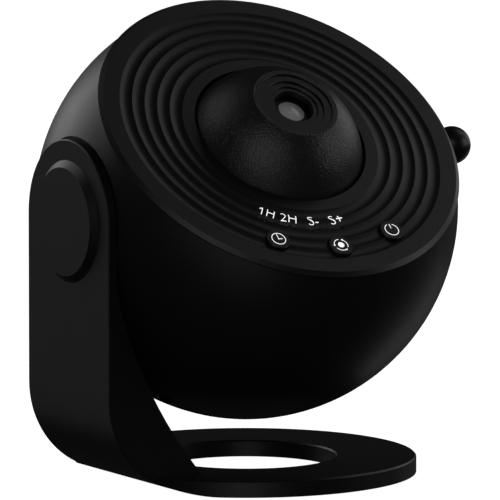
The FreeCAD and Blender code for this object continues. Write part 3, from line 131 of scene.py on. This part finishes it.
def make_materials():
    """One material for each slot of the record."""
    return {
        "shell_plastic": plastic("shell_plastic", (0.006, 0.006, 0.006), 0.42),
        "bezel_plastic": plastic("bezel_plastic", (0.007, 0.007, 0.007), 0.4),
        "stand_plastic": plastic("stand_plastic", (0.006, 0.006, 0.006), 0.38),
        "dome_soft_touch": plastic("dome_soft_touch", (0.017, 0.017, 0.017), 0.31, 0.37, 0.13),
        "nozzle_plastic": plastic("nozzle_plastic", (0.006, 0.006, 0.006), 0.35),
        "knob_plastic": plastic("knob_plastic", (0.008, 0.008, 0.008), 0.36, 0.5, 0.002),
        "button_plastic": plastic("button_plastic", (0.007, 0.007, 0.007), 0.4),
        "cap_plastic": plastic("cap_plastic", (0.006, 0.006, 0.006), 0.4),
        "rubber": plastic("rubber", (0.02, 0.02, 0.02), 0.8, 0.2, 0.02),
        "steel": metal("steel", (0.55, 0.55, 0.57), 0.3),
        "bush_plastic": plastic("bush_plastic", (0.75, 0.75, 0.72), 0.45),
        "board": plastic("board", (0.01, 0.10, 0.04), 0.35, 1.5, 0.01),
        "component": plastic("component", (0.02, 0.02, 0.02), 0.55),
        "ferrite": plastic("ferrite", (0.06, 0.06, 0.065), 0.7, 0.2, 0.03),
        "light_pipe": clear("light_pipe", (0.35, 0.35, 0.35), 0.15),
        "led": plastic("led", (0.8, 0.72, 0.3), 0.3),
        "grey_plastic": plastic("grey_plastic", (0.08, 0.08, 0.085), 0.5),
        "white_plastic": plastic("white_plastic", (0.7, 0.7, 0.68), 0.45),
        "film": plastic("film", (0.01, 0.01, 0.015), 0.15, 3.0, 0.001),
        "motor_can": metal("motor_can", (0.5, 0.5, 0.52), 0.28),
        "heat_sink": metal("heat_sink", (0.6, 0.6, 0.62), 0.4),
        "lens_glass": clear("lens_glass", (0.74, 0.74, 0.74), 0.02, 0.3),
        "barrel": metal("barrel", (0.03, 0.03, 0.03), 0.4),
    }


def dress_nodes(materials):
    """Give every CAD node the material of its slot in the record."""
    for part in frame["record"]["subparts"]:
        mesh = frame["nodes"][part["node"]].data
        mesh.materials.clear()
        mesh.materials.append(materials[part["material_slot"]])


def painted_glow_ink_material():
    """White pad printing with a painted glow that keeps it white in dim light, and an uneven coat."""
    material, shader = new_material("painted_glow_ink", (0.82, 0.82, 0.82), 0.55)
    # The emission is a painted glow on the print, which is no lamp.
    shader.inputs["Emission Color"].default_value = (1, 1, 1, 1)
    shader.inputs["Emission Strength"].default_value = 0.95
    return grain(material, shader, 0.12, 0.004, 0.45, 0.65, patch=2.0)


# ------------------------------------------------------------------ camera and light
# The pixels are those of the square photograph.
PHOTO_SIZE = 500
VIEW_AZIMUTH = math.radians(30.298)
VIEW_ELEVATION = math.radians(8.005)
VIEW_DISTANCE = 3.716
VIEW_REACH = 20
FOCAL_PIXELS = 11104
SENSOR_MM = 36
BALL_PIXEL = Vector((246.17, 207.85))
FRAME_CENTRE = Vector((250.15, 250.53))


def view_axes():
    """The photograph's right, up and towards-the-camera directions."""
    sin_a, cos_a = math.sin(VIEW_AZIMUTH), math.cos(VIEW_AZIMUTH)
    sin_e, cos_e = math.sin(VIEW_ELEVATION), math.cos(VIEW_ELEVATION)
    right = Vector((cos_a, -sin_a, 0))
    towards = Vector((-sin_a * cos_e, -cos_a * cos_e, sin_e))
    return right, towards.cross(right), towards


RIGHT, UP, TOWARDS = view_axes()


def add_camera():
    """A long lens, square on, from where the photograph was taken."""
    data = bpy.data.cameras.new("camera")
    data.sensor_width = SENSOR_MM
    data.lens = FOCAL_PIXELS / PHOTO_SIZE * SENSOR_MM
    data.clip_end = VIEW_REACH
    camera = bpy.data.objects.new("camera", data)
    bpy.context.collection.objects.link(camera)
    offset = (FRAME_CENTRE - BALL_PIXEL) / FOCAL_PIXELS * VIEW_DISTANCE
    place = PIVOT + RIGHT * offset.x - UP * offset.y + TOWARDS * VIEW_DISTANCE
    turn = Matrix((RIGHT, UP, TOWARDS)).transposed()
    camera.matrix_world = Matrix.Translation(place) @ turn.to_4x4()
    bpy.context.scene.camera = camera


KEY_POWER = 2.0
LIGHT_DISTANCE = 1.3
WORLD_LIGHT = 0.015
# Each soft box has its direction from the ball's centre (right, up and towards the camera), its
# side in metres and its share of the key's power, chosen in simple steps.
SOFTBOXES = {
    "key_in_front": ((-0.1, 0.2, 1.0), 0.8, 1),
    "rim_back_left": ((-0.7, 0.4, -0.7), 0.6, 1),
    "rim_right": ((1.0, 0.25, 0.0), 0.6, 3 / 4),
    "rim_back_right": ((0.7, 0.3, -0.7), 0.6, 1 / 2),
    "high_left": ((-0.75, 0.6, -0.2), 0.9, 3 / 4),
    "high_right": ((0.6, 0.75, -0.3), 0.6, 3 / 8),
    "low_right": ((0.5, -0.35, -0.7), 0.6, 1 / 8),
    "low_left": ((-0.9, -0.1, -0.5), 0.9, 1 / 8),
    "fill_low_front": ((0.0, -0.4, 0.9), 0.6, 1 / 6),
}


def add_lights():
    """Soft boxes in front, behind and at the sides, and a faint even light all round."""
    for name, (spot, side, share) in SOFTBOXES.items():
        data = bpy.data.lights.new(name, "AREA")
        data.shape = "SQUARE"
        data.size = side
        data.energy = KEY_POWER * share
        lamp = bpy.data.objects.new(name, data)
        bpy.context.collection.objects.link(lamp)
        away = (RIGHT * spot[0] + UP * spot[1] + TOWARDS * spot[2]).normalized()
        lamp.matrix_world = Matrix.Translation(PIVOT + away * LIGHT_DISTANCE)
        lamp.rotation_euler = away.to_track_quat("Z", "Y").to_euler()
    world = bpy.data.worlds.new("studio")
    world.use_nodes = True
    background = world.node_tree.nodes["Background"]
    background.inputs["Color"].default_value = (1, 1, 1, 1)
    background.inputs["Strength"].default_value = WORLD_LIGHT
    bpy.context.scene.world = world
    bpy.context.scene.view_settings.view_transform = "Standard"


FLOOR_SIZE = 40
FLOOR_DROP = 0.0002
BACKDROP_RADIUS = 12


def add_floor():
    """A plain white floor and backdrop that light nothing themselves."""
    material, shader = new_material("floor", (0.8, 0.8, 0.8), 0.9)
    shader.inputs["Emission Color"].default_value = (1, 1, 1, 1)
    shader.inputs["Emission Strength"].default_value = 1.0
    bpy.ops.mesh.primitive_plane_add(size=FLOOR_SIZE, location=(0, 0, -FLOOR_DROP))
    floor = bpy.context.object
    floor.name = "floor"
    bpy.ops.mesh.primitive_uv_sphere_add(radius=BACKDROP_RADIUS)
    backdrop = bpy.context.object
    backdrop.name = "backdrop"
    for item in (floor, backdrop):
        item.data.materials.append(material)
        item.visible_diffuse = False
        item.visible_glossy = False
        item.visible_shadow = False


# ------------------------------------------------------------------ printing on the face
MERGE_REACH = 0.01
LONGEST_EDGE = 0.35
SPLIT_ROUNDS = 6


def face_drop(radius):
    """How far the grooved face lies below its level at a radius."""
    pitch = (SCALLOP_OUTER - SCALLOP_INNER) / SCALLOP_COUNT
    if not SCALLOP_INNER < radius < SCALLOP_OUTER:
        return 0.0
    curve = (pitch ** 2 / 4 + SCALLOP_DEPTH ** 2) / (2 * SCALLOP_DEPTH)
    across = (radius - SCALLOP_INNER) % pitch - pitch / 2
    return math.sqrt(curve ** 2 - across ** 2) - (curve - SCALLOP_DEPTH)


def polar_spot(radius, angle):
    """A spot on the face, the angle in degrees from straight down to the right."""
    turn = math.radians(angle - 90)
    return Vector((radius * math.cos(turn), radius * math.sin(turn)))


def finish_print(name, mesh, spot, body, material, level=None, turn=0.0):
    """Weld and split a flat mesh, turn it, lay it at a spot and let it ride a body.

    The level is a height, or None on the grooves of the face; the turn is in degrees.
    """
    spin = Matrix.Rotation(math.radians(turn), 2)
    work = bmesh.new()
    work.from_mesh(mesh)
    bmesh.ops.remove_doubles(work, verts=work.verts, dist=MERGE_REACH)
    bmesh.ops.triangulate(work, faces=work.faces)
    for _ in range(SPLIT_ROUNDS):
        long = [edge for edge in work.edges if edge.calc_length() > LONGEST_EDGE]
        if not long:
            break
        bmesh.ops.subdivide_edges(work, edges=long, cuts=1)
        bmesh.ops.triangulate(work, faces=work.faces)
    bmesh.ops.dissolve_degenerate(work, edges=work.edges, dist=MERGE_REACH)
    for vertex in work.verts:
        flat = spin @ vertex.co.xy + spot
        height = FACE_LEVEL - face_drop(flat.length) if level is None else level
        vertex.co = Vector((flat.x, flat.y, height + INK_LIFT)) * MM
    work.to_mesh(mesh)
    work.free()
    mesh.transform(HEAD)
    piece = bpy.data.objects.new(name, mesh)
    bpy.context.collection.objects.link(piece)
    mesh.materials.clear()
    mesh.materials.append(material)
    coat = piece.modifiers.new("coat", "SOLIDIFY")
    coat.thickness = INK_THICKNESS * MM
    coat.offset = 1
    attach(piece, body)


def text_mesh(words, size):
    """Letters as a flat mesh, in millimetres, centred on their own middle."""
    curve = bpy.data.curves.new(words, "FONT")
    curve.body = words
    curve.size = size
    curve.align_x = "CENTER"
    curve.align_y = "CENTER"
    curve.offset = -LETTER_THINNING
    letters = bpy.data.objects.new(words, curve)
    bpy.context.collection.objects.link(letters)
    bpy.context.view_layer.update()
    mesh = bpy.data.meshes.new_from_object(letters)
    bpy.data.objects.remove(letters)
    return mesh


LABEL_CIRCLE = 39.3
LETTER_THINNING = 0.09
# The words of each label, its angle on the face in degrees and the size of its letters.
LABELS = {
    "one_hour": ("1H", -31.0, 4.9),
    "two_hours": ("2H", -19.9, 5.1),
    "slower": ("S-", -7.2, 5.4),
    "faster": ("S+", 5.6, 5.4),
}
FLAG_REACH = 0.8
FLAG_DROP = 0.95
FLAG_WIDTH = 0.42
PLUS_WIDTH = 0.36


def add_flag(mesh):
    """Give the figure one at the left of a label its slanted flag."""
    left = min(vertex.co.x for vertex in mesh.vertices)
    top = max(vertex.co.y for vertex in mesh.vertices)
    work = bmesh.new()
    work.from_mesh(mesh)
    root = (left + FLAG_WIDTH / 4, top - FLAG_WIDTH / 2)
    stroke(work, root, (left - FLAG_REACH, top - FLAG_DROP), FLAG_WIDTH)
    work.to_mesh(mesh)
    work.free()


def redraw_plus(mesh):
    """Draw the plus at the right end of a label afresh, in its place, as one clean cross."""
    work = bmesh.new()
    work.from_mesh(mesh)
    plus = {max(work.verts, key=lambda vertex: vertex.co.x)}
    newest = set(plus)
    while newest:
        near = {edge.other_vert(vertex) for vertex in newest for edge in vertex.link_edges}
        newest = near - plus
        plus |= near
    left, right = (pick(vertex.co.x for vertex in plus) for pick in (min, max))
    low, high = (pick(vertex.co.y for vertex in plus) for pick in (min, max))
    bmesh.ops.delete(work, geom=list(plus), context="VERTS")
    across, up, half = (left + right) / 2, (low + high) / 2, PLUS_WIDTH / 2
    corners = [
        (left, up - half), (across - half, up - half), (across - half, low),
        (across + half, low), (across + half, up - half), (right, up - half),
        (right, up + half), (across + half, up + half), (across + half, high),
        (across - half, high), (across - half, up + half), (left, up + half),
    ]
    work.faces.new([work.verts.new((*corner, 0)) for corner in corners])
    work.to_mesh(mesh)
    work.free()


def add_labels(material):
    """The four generic labels above the indicator holes."""
    for name, (words, angle, size) in LABELS.items():
        mesh = text_mesh(words, size)
        if words.startswith("1"):
            add_flag(mesh)
        if words.endswith("+"):
            redraw_plus(mesh)
        finish_print(f"label_{name}", mesh, polar_spot(LABEL_CIRCLE, angle), "ball",
                     material, turn=angle)


BAND_STEP = 7.5
DISC_CORNERS = 32


def arc_band(work, radius, width, start=0.0, sweep=360.0):
    """A flat band along an arc; the angles are in degrees from the right."""
    steps = round(sweep / BAND_STEP)
    rows = []
    for step in range(steps + 1):
        turn = math.radians(start + sweep * step / steps)
        way = Vector((math.cos(turn), math.sin(turn)))
        ends = [way * (radius + side * width / 2) for side in (-1, 1)]
        rows.append([work.verts.new((*end, 0)) for end in ends])
    for low, high in zip(rows, rows[1:]):
        work.faces.new((low[0], low[1], high[1], high[0]))


def stroke(work, start, end, width):
    """A flat straight stroke."""
    start, end = Vector(start), Vector(end)
    side = (end - start).normalized().orthogonal() * width / 2
    corners = [start - side, start + side, end + side, end - side]
    work.faces.new([work.verts.new((*corner, 0)) for corner in corners])


def disc(work, radius):
    """A flat disc."""
    turns = [2 * math.pi * number / DISC_CORNERS for number in range(DISC_CORNERS)]
    spots = [Vector((math.cos(turn), math.sin(turn))) * radius for turn in turns]
    work.faces.new([work.verts.new((*spot, 0)) for spot in spots])


ICON_RADIUS = 2.42
ICON_LINE = 0.23
MINUTE_HAND = ((0, 2.1), (0, -0.25))
HOUR_HAND = ((0, -0.1), (1.45, -0.1))
LIGHT_RADIUS = 1.12
ARROW_COUNT = 3
ARROW_START = 90
ARROW_BAND = 84
ARROW_SWEEP = 100
ARROW_LENGTH = 0.7
ARROW_HALF_WIDTH = 0.4
POWER_START = 112
POWER_SWEEP = 316
POWER_STROKE = ((0, 2.5), (0, 0.6))


def clock_icon(work):
    """A clock face with two hands."""
    arc_band(work, ICON_RADIUS, ICON_LINE)
    stroke(work, *MINUTE_HAND, ICON_LINE)
    stroke(work, *HOUR_HAND, ICON_LINE)


def light_icon(work):
    """A disc with three arrows that run round it."""
    disc(work, LIGHT_RADIUS)
    for number in range(ARROW_COUNT):
        start = ARROW_START + 360 / ARROW_COUNT * number
        arc_band(work, ICON_RADIUS, ICON_LINE, start, ARROW_BAND)
        turn = math.radians(start + ARROW_SWEEP)
        out = Vector((math.cos(turn), math.sin(turn)))
        back = Vector((math.sin(turn), -math.cos(turn)))
        tip = out * ICON_RADIUS
        root = tip + back * ARROW_LENGTH
        corners = [root + out * ARROW_HALF_WIDTH, tip, root - out * ARROW_HALF_WIDTH]
        work.faces.new([work.verts.new((*corner, 0)) for corner in corners])


def power_icon(work):
    """An open ring with a stroke in its gap."""
    arc_band(work, ICON_RADIUS, ICON_LINE, POWER_START, POWER_SWEEP)
    stroke(work, *POWER_STROKE, ICON_LINE)


# How each button's sign is drawn, and on which side of the middle the button is.
ICONS = {"timer": (clock_icon, -1), "light": (light_icon, 0), "power": (power_icon, 1)}


def add_icons(material):
    """The printed signs on the three buttons."""
    for name, (draw, side) in ICONS.items():
        work = bmesh.new()
        draw(work)
        mesh = bpy.data.meshes.new(f"{name}_sign")
        work.to_mesh(mesh)
        work.free()
        spot = polar_spot(BUTTON_CIRCLE, side * BUTTON_ANGLE)
        finish_print(f"{name}_sign", mesh, spot, f"{name}_key", material,
                     FACE_LEVEL + BUTTON_RISE)


# ------------------------------------------------------------------ the scene
add_camera()
add_lights()
add_floor()
dress_nodes(make_materials())
# The print material glows with a painted glow, not lit by any lamp.
painted_glow_ink = painted_glow_ink_material()
add_labels(painted_glow_ink)
add_icons(painted_glow_ink)
